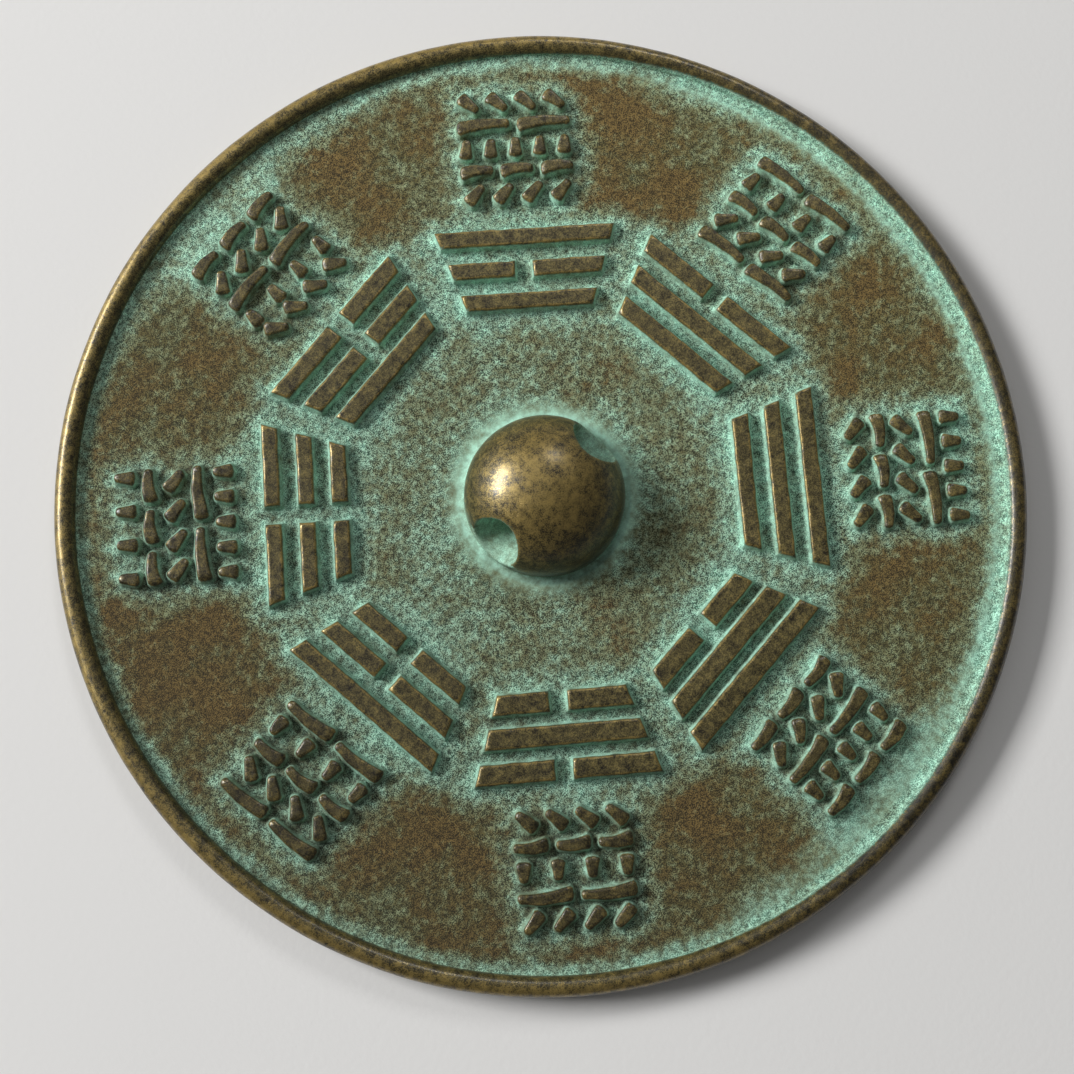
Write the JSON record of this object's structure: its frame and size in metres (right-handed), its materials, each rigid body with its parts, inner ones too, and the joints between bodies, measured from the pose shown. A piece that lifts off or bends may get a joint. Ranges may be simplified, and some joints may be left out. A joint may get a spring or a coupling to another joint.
{
  "type": "bronze mirror",
  "caption": "Round cast bronze mirror lying on its plain face: a raised rim, ring of bar groups and stroke blocks round a domed knob with a cord hole.",
  "frame": {"origin": "centre of the flat mirror face, on which the mirror lies", "axes": "+Z out of the decorated back, through the knob; +X along the cord hole in the knob"},
  "size_m": [0.12, 0.12, 0.0124],
  "materials": {
    "patinated_bronze": "cast bronze, brown on what stands out, with green and turquoise corrosion in the hollows"
  },
  "bodies": {
    "root": {"bronze_mirror": "patinated_bronze"}
  },
  "joints": []
}
